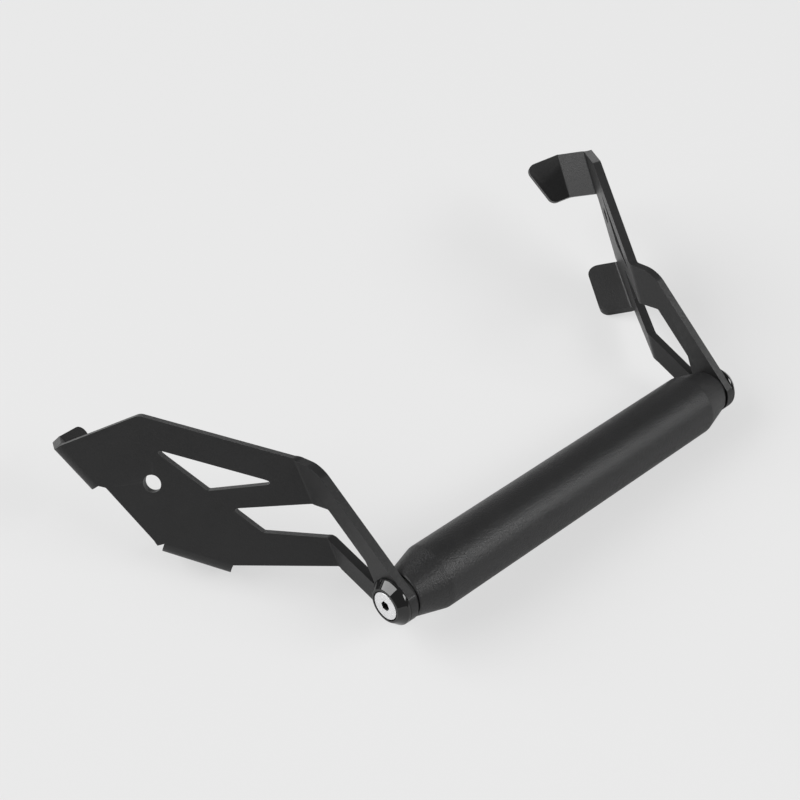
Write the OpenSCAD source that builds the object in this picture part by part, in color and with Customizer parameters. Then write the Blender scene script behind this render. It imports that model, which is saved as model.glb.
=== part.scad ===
// Crossbar phone mount: a 22.2 mm bar carried between two bent sheet arms.
// Each arm pivots on the end of the bar, clamped by a countersunk screw and a cup washer,
// and ends in a cut-out plate with an upper and a lower hook that grip a dash or display.
//
// Origin: middle of the bar's axis. +X runs along the bar to the right, +Y towards the hooks, +Z up.

/* [Crossbar] */
// Diameter of the bar, where a phone clamp closes round it
bar_d = 22.2; // [20:0.1:26]
// Distance between the inner faces of the two arm eyes
eye_gap = 154; // [120:1:220]
// Length of the turned taper at each end of the bar
taper_len = 11.5; // [6:0.5:20]
// Diameter of the small end of each taper
bar_end_d = 16; // [14:0.5:18]
// Chamfer where the taper meets the end face
bar_chamfer = 0.4; // [0.2:0.1:0.8]
// Depth of the tapped hole in each end
tap_depth = 16; // [12:0.5:30]

/* [Friction washers] */
// Thickness of the washer between the bar end and the eye
washer_t = 1; // [0.5:0.1:2]
// How far the washer's rim stays inside the rim of the bar end
washer_inset = 0.8; // [0.4:0.1:1.5]

/* [Screws] */
// Thread diameter of the clamping screws
screw_d = 5; // [4:0.5:6]
// Overall length of a screw, countersunk head included
screw_len = 16; // [14:1:22]
// Diameter of the countersunk head
head_d = 10; // [9:0.2:11]
// Straight land round the rim of the head
head_land = 0.4; // [0.2:0.1:0.6]
// Width of the hexagon socket across its flats
hex_af = 3; // [2.5:0.5:4]
// Depth of the hexagon socket
hex_depth = 2; // [1.5:0.1:2.4]

/* [Cup washers] */
// Diameter of the cup washer's base
cup_d = 16; // [15:0.5:20]
// Height of the cup washer
cup_h = 3.5; // [3:0.1:5]
// Height of the straight rim under the cup washer's cone
cup_rim_h = 1; // [0.6:0.1:1.5]
// Width of the flat ring round the screw head
cup_land = 0.7; // [0.4:0.1:1.2]

/* [Arm sheet] */
// Thickness of the arm's sheet
sheet_t = 3; // [2:0.25:4]
// Inside radius of every fold
bend_r = 1; // [0.5:0.1:1.5]
// Angle of the left arm's lower half below level, about the bar
left_arm_angle = 35; // [0:1:90]
// Angle of the right arm's lower half below level, about the bar
right_arm_angle = 27; // [0:1:90]

/* [Legs] */
// Diameter of the eye round the screw
eye_d = 16; // [15:0.5:20]
// Distance from the pivot to the fold that leans the plate outwards
fold_dist = 22; // [20:0.5:30]
// Angle by which the plate leans outwards at that fold
fold_angle = 40; // [10:1:60]
// Rise of the upper leg from the eye
upper_leg_rise = 64.5; // [62:0.5:66]
// Width of the upper leg
upper_leg_w = 7.4; // [5:0.2:9]
// Distance from the pivot to the upper leg's outer edge
upper_leg_offset = 7.5; // [6:0.1:7.8]
// Slope of the upper leg's edge between the fold and its knee
knee_slope = 20; // [12:1:34]
// Radius of the upper leg's knee
knee_r = 10; // [3:0.5:12]
// Step from the plate's top edge down to the upper leg's, at the fold
knee_drop = 0.6; // [0.3:0.1:1]
// Distance from the pivot to the end of the slot between the legs
slot_start = 6.3; // [4:0.1:7]
// Height at which the lower leg's lower edge meets the fold
lower_leg_z = 11.4; // [8:0.1:13]
// Width of the lower leg along the fold
lower_leg_w = 10; // [7:0.1:12]
// Height at which the upper leg's lower edge meets the fold
upper_leg_z = 33.5; // [31:0.1:35]
// Width of the upper leg along the fold
upper_leg_fold_w = 15.8; // [13:0.1:20]

/* [Plate] */
// Distance from the fold to the plate's top corner
shoulder_reach = 42.5; // [38:0.5:50]
// Radius of the top corner
shoulder_r = 3.5; // [1:0.5:6]
// Slope of the plate's top edge
top_slope = 34.8; // [30:0.2:38]
// Fall of the plate's end edge, between the top corner and the upper hook
end_fall = 1.8; // [0:0.2:5]
// Distance from the fold to the upper hook's own fold
hook_reach = 72; // [68:0.5:80]
// Length of the plate's free edge between the two hooks
free_edge_len = 24.7; // [20:0.5:28]
// Turn of the free edge from upright
free_edge_turn = 20; // [15:0.5:25]
// Width of the rail above the triangular window
top_rail_w = 9.4; // [6:0.1:11]
// Slope of the brace between the window and the gap
brace_slope = 58; // [55:0.5:62]
// Distance from the fold to the low corner of the triangular window
brace_reach = 31; // [28:0.5:33]
// Height at which the line of the window's sill crosses the fold
sill_z = 41.5; // [40.5:0.1:43]
// Slope of the window's sill
sill_slope = 12.7; // [8:0.5:15]
// Slope of the upper edge of the gap between the legs
gap_top_slope = 15.2; // [12:0.2:18]
// Distance from the fold to the low corner of the gap
gap_reach = 19.3; // [15:0.2:22]
// Corner radius of the window and the gap
window_r = 1; // [0.5:0.1:2]
// Diameter of the bolt hole in the plate
hole_d = 6; // [4:0.5:7]
// Distance of the bolt hole from the fold
hole_reach = 47.4; // [45:0.2:50]
// Height of the bolt hole above the pivot, along the fold
hole_z = 56.6; // [54:0.2:59]

/* [Upper hook] */
// Width of the upper hook along its fold
upper_hook_w = 17.7; // [14:0.1:20]
// Turn of the upper hook's fold from upright
upper_hook_turn = 21; // [15:0.5:26]
// Angle of the hook's first fold
upper_hook_fold = 68; // [45:1:90]
// Length of the hook's web, between its two folds
upper_hook_web = 11; // [8:0.5:16]
// Angle of the hook's second fold
upper_hook_lip_fold = 31; // [10:1:60]
// Length of the hook's lip along its upper edge
upper_hook_lip = 14; // [10:0.5:18]
// How much shorter the lip is along its lower edge
upper_hook_lip_cut = 6.8; // [2:0.2:7]
// Radius of the lip's corners
upper_hook_r = 3; // [1:0.5:4]
// Step from the upper hook back to the plate's free edge
upper_relief = 3; // [2:0.2:5]

/* [Lower hook] */
// Width of the lower hook along its fold
lower_hook_w = 23.4; // [18:0.2:26]
// Turn of the lower hook's fold from upright
lower_hook_turn = 53.5; // [50:0.5:60]
// Angle of the lower hook's fold
lower_hook_fold = 85; // [60:1:95]
// Length of the lower hook from its fold
lower_hook_len = 12.2; // [8:0.2:16]
// Radius of the lower hook's corners
lower_hook_r = 4; // [1:0.5:5]
// Step from the plate's free edge to the lower hook
lower_relief = 2.1; // [1:0.1:4]

/* [Hidden] */
$fn = 96;

// Radial gap of the screw in the eye, the washers and the tapped hole
screw_clear = 0.08;
// Gap between faces that turn against each other
face_gap = 0.05;
// Gap between the head's cone and its seat in the cup washer
seat_gap = 0.1;
// Half angle of a countersunk head and its seat
head_half_angle = 45;
// Length of the drill point under the tapped hole, as a share of its radius
drill_point = 0.6;
// Side shift of a hook's edges for each millimetre of its web
hook_slant = 0.26;
// Side shift of the lip's edges for each millimetre of its length
lip_slant = 0.12;
// Flat land kept square to a fold on each side of its bend
land = 0.3;
// Step of the plate's corners back from where a hook's bend starts
hook_land = 0.09;
// Bulge of a fold's edges beyond the edges of the flats
bulge = 0.05;
// How much of a bend's half width an outline covers, so that it reaches past the middle
past_middle = 1.2;
// How far a shape that cuts runs past the face that it cuts
past = 1;
// Chamfer of a screw's tip
screw_tip = 0.75;

black_anodised = [0.13, 0.13, 0.135];
bar_black = [0.17, 0.17, 0.175];
gloss_black = [0.04, 0.04, 0.045];
washer_black = [0.06, 0.06, 0.06];
bright_steel = [0.82, 0.82, 0.84];

// How much the hooks' folding stretches the sheet on each of its faces
stretch = 0.01;
// How far the lower leg's lower edge runs inside the eye's rim
eye_inset = 0.1;
// Largest turn between two points of an arc
arc_step = 6;

eye_r = eye_d / 2;
screw_r = screw_d / 2;
bore_r = screw_r + screw_clear;
eye_face = eye_gap / 2;
bar_half = eye_face - face_gap - washer_t;
cup_base = sheet_t + face_gap;
head_r = head_d / 2;

// Point at distance d from p, at angle a
function along(p, a, d) = [p.x + d * cos(a), p.y + d * sin(a)];

// Crossing of the line through p at angle a with the line through q at angle b
function meet(p, a, q, b) =
    along(p, a, ((q.y - p.y) * cos(b) - (q.x - p.x) * sin(b)) / sin(a - b));

// Corner of an outline: the point p and the radius r that rounds it
function corner(p, r = 0) = [p.x, p.y, r];

// Arc of radius b.z that rounds the corner b between its neighbours a and c
function fillet(a, b, c) =
    let (
        to_a = atan2(a.y - b.y, a.x - b.x),
        to_c = atan2(c.y - b.y, c.x - b.x),
        inside = (to_c - to_a + 540) % 360 - 180,
        turn = sign(inside) * 180 - inside,
        centre = along(b, to_a + inside / 2, b.z / sin(abs(inside) / 2)),
        steps = ceil(abs(turn) / arc_step)
    )
    [for (i = [0 : steps]) along(centre, to_a - sign(inside) * 90 - turn * i / steps, b.z)];

// Outline through a list of corners, each rounded by its own radius
function outline(c) =
    let (n = len(c))
    [for (i = [0 : n - 1]) each c[i].z > 0
        ? fillet(c[(i + n - 1) % n], c[i], c[(i + 1) % n])
        : [[c[i].x, c[i].y]]];

// Section of a folded sheet. Its inside face starts at p and runs along each heading for
// the length beside it, turning clockwise at the folds, and the sheet lies to its left.
function folded(p, headings, lengths, t = sheet_t) =
    let (
        last = len(headings) - 1,
        inside = [for (i = 0, q = p; i <= last + 1; q = i <= last
            ? along(q, headings[i], lengths[i]) : q, i = i + 1) q],
        outside = [for (i = [0 : last + 1])
            let (before = headings[max(i - 1, 0)], after = headings[min(i, last)])
            along(inside[i], (before + after) / 2 + 90, t / cos((after - before) / 2))]
    )
    outline(concat(
        [for (i = [0 : last + 1]) corner(inside[i], i > 0 && i <= last ? bend_r : 0)],
        [for (i = [last + 1 : -1 : 0])
            corner(outside[i], i > 0 && i <= last ? bend_r + t : 0)]
    ));

// Distance from a fold's sharp inside corner back to where its bend starts
function setback(angle) = bend_r * tan(angle / 2);

// How far past the start of a bend an outline runs, so that it reaches beyond the middle
function overrun(angle) = past_middle * (bend_r + sheet_t) * sin(angle / 2);

// ---- Turned pieces, drawn along Z and laid along X ----

module along_x() {
    rotate([0, 90, 0]) children();
}

module bar_solid() {
    end_r = bar_end_d / 2;
    shoulder = bar_half - taper_len;
    rotate_extrude()
        polygon([
            [0, -bar_half],
            [end_r - bar_chamfer, -bar_half],
            [end_r, -bar_half + bar_chamfer],
            [bar_d / 2, -shoulder],
            [bar_d / 2, shoulder],
            [end_r, bar_half - bar_chamfer],
            [end_r - bar_chamfer, bar_half],
            [0, bar_half]
        ]);
}

module tapped_hole() {
    point = bore_r * drill_point;
    rotate_extrude()
        polygon([[0, -tap_depth - point], [bore_r, -tap_depth], [bore_r, past], [0, past]]);
}

module crossbar() {
    color(bar_black)
        along_x()
            difference() {
                bar_solid();
                for (end = [0, 1])
                    mirror([0, 0, end]) translate([0, 0, bar_half]) tapped_hole();
            }
}

module friction_washer() {
    color(washer_black)
        translate([bar_half, 0, 0]) along_x()
            difference() {
                cylinder(h = washer_t, r = bar_end_d / 2 - washer_inset);
                translate([0, 0, -past]) cylinder(h = washer_t + 2 * past, r = bore_r);
            }
}

// The seat for the screw head is cut by the head's own cone, opened by the seat gap
module cup_washer() {
    seat_r = head_r + seat_gap / cos(head_half_angle);
    seat_floor = cup_h - head_land - (seat_r - bore_r) / tan(head_half_angle);
    color(gloss_black)
        translate([eye_face + cup_base, 0, 0]) along_x()
            rotate_extrude()
                polygon([
                    [bore_r, 0],
                    [cup_d / 2, 0],
                    [cup_d / 2, cup_rim_h],
                    [seat_r + cup_land, cup_h],
                    [seat_r, cup_h],
                    [seat_r, cup_h - head_land],
                    [bore_r, seat_floor]
                ]);
}

// Countersunk screw with its head flush with the cup washer's top
module screw() {
    cone_h = (head_r - screw_r) / tan(head_half_angle);
    color(bright_steel)
        translate([eye_face + cup_base + cup_h, 0, 0]) along_x()
            difference() {
                rotate_extrude()
                    polygon([
                        [0, 0],
                        [head_r, 0],
                        [head_r, -head_land],
                        [screw_r, -head_land - cone_h],
                        [screw_r, -screw_len + screw_tip],
                        [screw_r - screw_tip, -screw_len],
                        [0, -screw_len]
                    ]);
                translate([0, 0, -hex_depth])
                    cylinder(h = hex_depth + past, d = hex_af / cos(30), $fn = 6);
            }
}

// ---- Arm: legs, plate and hooks of one folded sheet ----
// All of it is drawn in the plate's frame. X runs away from the fold by the legs, Y up along
// that fold and Z out of the plate's outer face, so the plate lies from Z = -sheet_t to 0.
// Each fold is a folded strip, trimmed by the outlines of the flats on both sides of it.

fold_start = setback(fold_angle);
leg_end = fold_dist - fold_start - land;
plate_start = fold_start + land / 2;
hook_t = sheet_t - 2 * stretch;
upper_top_z = upper_leg_z + upper_leg_fold_w;
knee_top_z = upper_top_z - knee_drop;
lower_top_z = lower_leg_z + lower_leg_w;

// Plate corners
shoulder = [shoulder_reach, upper_top_z + shoulder_reach * tan(top_slope)];
upper_hook_at = meet(shoulder, -end_fall, [hook_reach, 0], 90);
upper_hook_end = along(upper_hook_at, -90 - upper_hook_turn, upper_hook_w);
free_edge_at = along(upper_hook_end, 180 + upper_hook_turn, upper_relief);
free_edge_end = along(free_edge_at, -90 - free_edge_turn, free_edge_len);
lower_hook_at = along(free_edge_end, -90 - lower_hook_turn, lower_relief);
lower_hook_end = along(lower_hook_at, -90 - lower_hook_turn, lower_hook_w);
brace_foot = [brace_reach, sill_z + brace_reach * tan(sill_slope)];
gap_foot = meet([gap_reach, 0], 90, brace_foot, brace_slope);

// Flat sheet with its outer face at Z = 0
module sheet() {
    translate([0, 0, -sheet_t]) linear_extrude(sheet_t) children();
}

// Trimming prism that stands clear of both faces of the sheet
module trim() {
    translate([0, 0, -sheet_t - bend_r])
        linear_extrude(sheet_t + 2 * bend_r) children();
}

// Strip of folded sheet, running along Y from y0 to y1
module strip(y0, y1, section) {
    translate([0, y1, 0]) rotate([90, 0, 0]) linear_extrude(y1 - y0) polygon(section);
}

// Frame of the flat beyond a fold of the given angle towards the sheet's inner face
module beyond_fold(angle) {
    translate([0, 0, -sheet_t]) rotate([0, angle, 0]) translate([0, 0, sheet_t]) children();
}

module leg_outline() {
    over = fold_dist - fold_start + overrun(fold_angle);
    back = along([0, 0], upper_leg_rise + 90, upper_leg_offset);
    inner = along([0, 0], upper_leg_rise + 90, upper_leg_offset - upper_leg_w);
    top = [leg_end, knee_top_z];
    gap_top = [leg_end, upper_leg_z];
    low = [leg_end, lower_leg_z];
    low_r = eye_r - eye_inset;
    low_tangent = along([0, 0], atan2(low.y, low.x) - acos(low_r / norm(low)), low_r);
    slot_end = [slot_start, sqrt(pow(eye_r, 2) - pow(slot_start, 2))];
    difference() {
        union() {
            circle(r = eye_r);
            polygon(outline([
                corner(top),
                corner(meet(top, knee_slope, back, upper_leg_rise), knee_r),
                corner(back),
                corner(low_tangent),
                corner(low),
                corner([over, lower_leg_z]),
                corner([over, lower_top_z]),
                corner([leg_end, lower_top_z]),
                corner(slot_end, window_r / 2),
                corner(meet(slot_end, 90, inner, upper_leg_rise), window_r / 2),
                corner(meet(gap_top, gap_top_slope, inner, upper_leg_rise), window_r),
                corner(gap_top),
                corner([over, upper_leg_z]),
                corner([over, knee_top_z])
            ]));
        }
        circle(r = bore_r);
    }
}

// Legs and the fold that joins them to the plate
module legs() {
    reach = fold_dist + eye_d;
    intersection() {
        strip(-eye_d, upper_top_z + eye_d,
              folded([fold_start + land, 0], [180, 180 - fold_angle], [fold_start + land, reach]));
        union() {
            rotate([0, fold_angle, 0]) translate([-fold_dist, 0, 0]) trim() leg_outline();
            for (z = [[lower_leg_z, lower_top_z], [upper_leg_z, knee_top_z]])
                trim() translate([fold_start - overrun(fold_angle), z[0] - bulge])
                    square([overrun(fold_angle) + land * 2, z[1] - z[0] + 2 * bulge]);
        }
    }
}

// Corner of the plate where a hook's bend starts
function bend_corner(at, turn, angle) =
    corner(along(at, 180 - turn, setback(angle) + hook_land));

module plate_outline() {
    rail_edge = along([0, upper_top_z], top_slope - 90, top_rail_w);
    difference() {
        polygon(outline([
            corner([plate_start, knee_top_z]),
            corner(along([0, upper_top_z], top_slope, sheet_t / 2)),
            corner(shoulder, shoulder_r),
            bend_corner(upper_hook_at, upper_hook_turn, upper_hook_fold),
            bend_corner(upper_hook_end, upper_hook_turn, upper_hook_fold),
            corner(free_edge_at, window_r),
            corner(free_edge_end),
            bend_corner(lower_hook_at, lower_hook_turn, lower_hook_fold),
            bend_corner(lower_hook_end, lower_hook_turn, lower_hook_fold),
            corner([plate_start, lower_leg_z]),
            corner([plate_start, lower_top_z]),
            corner(gap_foot, window_r),
            corner(meet([0, upper_leg_z], gap_top_slope, brace_foot, brace_slope), window_r),
            corner([plate_start, upper_leg_z])
        ]));
        polygon(outline([
            corner(meet(rail_edge, top_slope, brace_foot, sill_slope), window_r),
            corner(brace_foot, window_r),
            corner(meet(rail_edge, top_slope, brace_foot, brace_slope), window_r)
        ]));
        translate([hole_reach, hole_z]) circle(d = hole_d);
    }
}

// Frame of a hook: X square to its fold, Y up along the fold, origin at the fold's upper end
module hook_frame(at, turn) {
    translate([at.x, at.y, 0]) rotate([0, 0, -turn]) children();
}

// Outline that trims the bend of a hook's fold
module bend_trim(angle, width) {
    trim() translate([-setback(angle) - 2 * land, -width - bulge])
        square([overrun(angle) + 2 * land, width + 2 * bulge]);
}

module upper_hook() {
    web = upper_hook_web;
    w = upper_hook_w;
    bend = overrun(upper_hook_fold) - setback(upper_hook_fold);
    web_start = setback(upper_hook_fold) + land;
    lip_start = setback(upper_hook_lip_fold) + land;
    lip_bend = overrun(upper_hook_lip_fold) - setback(upper_hook_lip_fold);
    rise = web * hook_slant;
    lip = upper_hook_lip;
    cut_lip = lip - upper_hook_lip_cut;
    hook_frame(upper_hook_at, upper_hook_turn)
        intersection() {
            strip(-w - web, web, folded([-web_start, stretch - sheet_t],
                  [0, -upper_hook_fold, -upper_hook_fold - upper_hook_lip_fold],
                  [web_start, web, 2 * lip], hook_t));
            union() {
                bend_trim(upper_hook_fold, w);
                beyond_fold(upper_hook_fold) {
                    trim() polygon([
                        [-bend, -w], [web_start, -w],
                        [web - lip_start, rise - w], [web + lip_bend, rise - w],
                        [web + lip_bend, rise], [web - lip_start, rise],
                        [web_start, 0], [-bend, 0]
                    ]);
                    translate([web, rise, 0]) beyond_fold(upper_hook_lip_fold)
                        trim() polygon(outline([
                            corner([-lip_bend, bulge]),
                            corner([-lip_bend, -w - bulge]),
                            corner([lip_start, -w - bulge]),
                            corner([cut_lip, -w - cut_lip * lip_slant], upper_hook_r),
                            corner([lip, -lip * lip_slant], upper_hook_r),
                            corner([lip_start, bulge])
                        ]));
                }
            }
        }
}

module lower_hook() {
    w = lower_hook_w;
    bend = overrun(lower_hook_fold) - setback(lower_hook_fold);
    tab = lower_hook_len;
    rise = tab * hook_slant;
    tab_start = setback(lower_hook_fold) + land;
    hook_frame(lower_hook_at, lower_hook_turn)
        intersection() {
            strip(-w - tab, tab, folded([-tab_start, stretch - sheet_t],
                  [0, -lower_hook_fold], [tab_start, 2 * tab], hook_t));
            union() {
                bend_trim(lower_hook_fold, w);
                beyond_fold(lower_hook_fold)
                    trim() polygon(outline([
                        corner([-bend, 0]),
                        corner([-bend, -w]),
                        corner([tab_start, -w]),
                        corner([tab, rise - w], lower_hook_r),
                        corner([tab, rise], lower_hook_r),
                        corner([tab_start, 0])
                    ]));
            }
        }
}

// The right arm, level: X outwards from its eye's inner face, Y away from the bar, Z up
module arm() {
    translate([sheet_t, fold_dist, 0]) rotate([90, 0, 90 - fold_angle]) {
        sheet() plate_outline();
        legs();
        upper_hook();
        lower_hook();
    }
}

module left_arm() {
    color(black_anodised)
        rotate([-left_arm_angle, 0, 0]) mirror([1, 0, 0]) translate([eye_face, 0, 0]) arm();
}

module right_arm() {
    color(black_anodised)
        rotate([-right_arm_angle, 0, 0]) translate([eye_face, 0, 0]) arm();
}

module left_friction_washer() {
    mirror([1, 0, 0]) friction_washer();
}

module right_friction_washer() {
    friction_washer();
}

module left_cup_washer() {
    mirror([1, 0, 0]) cup_washer();
}

module right_cup_washer() {
    cup_washer();
}

module left_screw() {
    mirror([1, 0, 0]) screw();
}

module right_screw() {
    screw();
}

crossbar();
left_friction_washer();
right_friction_washer();
left_arm();
right_arm();
left_cup_washer();
right_cup_washer();
left_screw();
right_screw();
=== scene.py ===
"""Crossbar phone mount: a black bar carried between two bent sheet arms with hooks."""

import math

import bmesh
import bpy
from mathutils import Matrix, Vector


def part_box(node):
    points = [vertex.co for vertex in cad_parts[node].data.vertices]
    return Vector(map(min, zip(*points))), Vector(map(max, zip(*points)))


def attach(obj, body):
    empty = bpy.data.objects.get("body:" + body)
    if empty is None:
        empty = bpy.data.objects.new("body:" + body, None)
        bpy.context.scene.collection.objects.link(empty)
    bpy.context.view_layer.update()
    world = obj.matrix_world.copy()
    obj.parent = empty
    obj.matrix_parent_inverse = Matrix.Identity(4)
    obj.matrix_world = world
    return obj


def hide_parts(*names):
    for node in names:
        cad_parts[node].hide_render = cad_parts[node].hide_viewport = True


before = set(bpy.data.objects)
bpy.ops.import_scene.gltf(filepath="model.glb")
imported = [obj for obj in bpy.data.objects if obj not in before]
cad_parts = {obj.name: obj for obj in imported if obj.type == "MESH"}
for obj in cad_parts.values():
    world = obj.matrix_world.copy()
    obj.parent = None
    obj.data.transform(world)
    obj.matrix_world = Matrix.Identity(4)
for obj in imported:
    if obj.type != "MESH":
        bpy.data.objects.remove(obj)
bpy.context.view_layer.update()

bl_info = {
    "name": "Crossbar phone mount",
    "version": (1, 0, 0),
    "blender": (4, 5, 0),
    "location": "3D Viewport > Sidebar > Phone Mount",
    "description": "Models and finishes the bar, arms, washers and screws of a crossbar phone mount",
    "category": "Add Mesh",
}

MM = 0.001
SIDES = {"left": -1, "right": 1}
ARM_TURN = {"left": -35.0, "right": -27.0}

# Fineness of round shapes
TURN_STEPS = 96
SCREW_STEPS = 72
EYE_STEPS = 40
HOLE_STEPS = 64
CORNER_STEPS = 8
BEND_STEPS = 8

# Small shapes of the turned pieces: roundings, and shares of a bore or a socket
SHARP_ANGLE = math.radians(34)
WASHER_EDGE = 0.15 * MM
CUP_EDGE = 0.22 * MM
SEAT_EDGE = 0.08 * MM
SOCKET_EDGE = 0.12 * MM
SOCKET_POINT = 0.4 * MM
DRILL_POINT = 0.6
HEAD_RING = 0.72
HEAD_EDGE = 0.5

# Cut edges of the blank that turn more than this are rounded; a hook's bend reaches this far past its sides
RIM_ANGLE = math.radians(60)
BEND_MARGIN = 3 * MM


# ---- Sizes and finishes that a user would change ----


def length(name, description, default):
    """A length in metres, given in millimetres."""
    return bpy.props.FloatProperty(
        name=name, description=description, default=default * MM, unit="LENGTH", precision=5
    )


def turn(name, description, default):
    """An angle, given in degrees."""
    return bpy.props.FloatProperty(
        name=name, description=description, default=math.radians(default), unit="ROTATION"
    )


def colour(name, description, default):
    """A linear colour with alpha."""
    return bpy.props.FloatVectorProperty(
        name=name, description=description, default=default, size=4, subtype="COLOR", min=0, max=1
    )


class MountSheet(bpy.types.PropertyGroup):
    """Sizes of the arms' folded sheet"""

    thickness: length("Thickness", "Thickness of the sheet", 3)
    bend: length("Bend", "Inside radius of every fold", 1)
    edge: length("Edge", "Rounding of the sheet's cut edges", 0.28)
    eye_face: length("Eye face", "Distance from the middle of the bar to an eye's inner face", 77)
    eye: length("Eye", "Radius of the eye round the screw", 8)
    bore: length("Bore", "Radius of the eye's bore", 2.58)
    fold_reach: length("Fold reach", "Distance from the pivot to the fold of the plate", 22)
    fold: turn("Fold", "Angle by which the plate leans outwards", 40)
    leg_rise: turn("Leg rise", "Rise of the upper leg", 64.5)
    leg_width: length("Leg width", "Width of the upper leg", 7.4)
    leg_offset: length("Leg offset", "Distance from the pivot to the upper leg's outer edge", 7.5)
    knee: length("Knee", "Radius of the upper leg's knee", 10)
    knee_slope: turn("Knee slope", "Slope of the upper leg's edge between the fold and the knee", 20)
    knee_start: length("Knee start", "Radius with which the edge turns into the leg", 5)
    slot: length("Slot", "Distance from the pivot to the slot between the legs", 6.3)
    low_z: length("Low edge", "Height of the lower leg's lower edge at the fold", 11.4)
    low_top_z: length("Low leg top", "Height of the lower leg's upper edge at the fold", 21.4)
    high_z: length("High leg", "Height of the upper leg's lower edge at the fold", 33.5)
    high_top_z: length("High leg top", "Height of the upper leg's upper edge at the fold", 49.3)
    top_slope: turn("Top slope", "Slope of the plate's top edge", 34.8)
    shoulder: length("Shoulder", "Distance from the fold to the plate's top corner", 42.5)
    shoulder_r: length("Shoulder radius", "Radius of the top corner", 3.5)
    end_fall: turn("End fall", "Fall of the plate's end edge", 1.8)
    hook_reach: length("Hook reach", "Distance from the fold to the upper hook's fold", 71.85)
    free_edge: length("Free edge", "Length of the free edge between the hooks", 24.7)
    free_turn: turn("Free edge turn", "Turn of the free edge from upright", 20)
    rail: length("Rail", "Width of the rail above the window", 9.4)
    brace: turn("Brace", "Slope of the brace between the window and the gap", 58)
    brace_reach: length("Brace reach", "Distance from the fold to the window's low corner", 31)
    sill_z: length("Sill", "Height at which the line of the sill crosses the fold", 41.5)
    sill: turn("Sill slope", "Slope of the window's sill", 12.7)
    gap_slope: turn("Gap slope", "Slope of the gap's upper edge", 15.2)
    gap_reach: length("Gap reach", "Distance from the fold to the gap's low corner", 19.3)
    window_r: length("Window radius", "Corner radius of the window and the gap", 1)
    hole: length("Hole", "Radius of the plate's bolt hole", 3)
    hole_reach: length("Hole reach", "Distance of the bolt hole from the fold", 47.4)
    hole_z: length("Hole height", "Height of the bolt hole along the fold", 56.6)


class MountHooks(bpy.types.PropertyGroup):
    """Sizes of the arms' two hooks"""

    high_width: length("Upper width", "Width of the upper hook along its fold", 17.7)
    high_turn: turn("Upper turn", "Turn of the upper hook's fold from upright", 21)
    high_fold: turn("Upper fold", "Angle of the upper hook's first fold", 68)
    web: length("Web", "Length of the upper hook between its folds", 11)
    lip_fold: turn("Lip fold", "Angle of the upper hook's second fold", 31)
    lip: length("Lip", "Length of the lip along its upper edge", 14)
    short_lip: length("Short lip", "Length of the lip along its lower edge", 7.2)
    lip_r: length("Lip radius", "Radius of the lip's corners", 3)
    high_relief: length("Upper relief", "Step from the upper hook to the free edge", 3)
    low_width: length("Lower width", "Width of the lower hook along its fold", 23.4)
    low_turn: turn("Lower turn", "Turn of the lower hook's fold from upright", 53.5)
    low_fold: turn("Lower fold", "Angle of the lower hook's fold", 85)
    tab: length("Tab", "Length of the lower hook from its fold", 12.2)
    tab_r: length("Tab radius", "Radius of the lower hook's corners", 4)
    low_relief: length("Lower relief", "Step from the free edge to the lower hook", 2.1)
    slant: bpy.props.FloatProperty(
        name="Slant", description="Side shift of a hook's edges for its length", default=0.26
    )
    lip_slant: bpy.props.FloatProperty(
        name="Lip slant", description="Side shift of the lip's edges for its length", default=0.12
    )


class MountTurned(bpy.types.PropertyGroup):
    """Sizes of the bar, washers and screws"""

    bar: length("Bar", "Radius of the bar", 11.1)
    bar_end: length("Bar end", "Radius of the bar's ends", 8)
    taper: length("Taper", "Length of the bar's end tapers", 11.5)
    chamfer: length("Chamfer", "Chamfer of the bar's ends", 0.4)
    shoulder: length("Shoulder", "Softening of the bar's shoulders", 0.5)
    tap: length("Tap depth", "Depth of the tapped holes", 16)
    bore: length("Bore", "Radius of the holes for the screws", 2.58)
    cup_rim: length("Cup rim", "Height of the cup washer's straight rim", 1)
    cup_land: length("Cup land", "Width of the flat ring round the screw head", 0.7)
    head: length("Head", "Radius of the countersunk head", 4.8)
    head_land: length("Head land", "Straight land round the head", 0.4)
    seat_gap: length("Seat gap", "Gap between the head and its seat", 0.34)
    shank: length("Shank", "Radius of the screw's thread", 2.5)
    thread: length("Thread", "Depth of the screw's thread", 0.4)
    pitch: length("Pitch", "Pitch of the screw's thread", 0.8)
    hexagon: length("Hexagon", "Width of the socket across its flats", 3)
    socket: length("Socket", "Depth of the hexagon socket", 2)


class MountFinish(bpy.types.PropertyGroup):
    """Colours of the finishes"""

    arm: colour("Arms", "Matt black of the arms", (0.012, 0.012, 0.0122, 1))
    bar: colour("Bar", "Satin black of the bar", (0.014, 0.014, 0.0143, 1))
    cup: colour("Cup washers", "Gloss black of the cup washers", (0.003, 0.003, 0.003, 1))
    washer: colour("Friction washers", "Dark grey of the washers", (0.008, 0.008, 0.008, 1))
    steel: colour("Screws", "Bright steel of the screws", (0.9, 0.9, 0.91, 1))
    floor: colour("Floor", "Pale floor", (0.68, 0.68, 0.68, 1))


PROPERTY_GROUPS = {
    "mount_sheet": MountSheet,
    "mount_hooks": MountHooks,
    "mount_turned": MountTurned,
    "mount_finish": MountFinish,
}


def sizes(name):
    """The scene's property group of that name."""
    return getattr(bpy.context.scene, name)


# ---- Shared shader groups ----


def link(tree, start, end):
    tree.links.new(start, end)


def node(tree, kind, x, y, **values):
    """A shader node at a place in the editor, with its properties set."""
    made = tree.nodes.new(kind)
    made.location = (x, y)
    for key, value in values.items():
        setattr(made, key, value)
    return made


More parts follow.
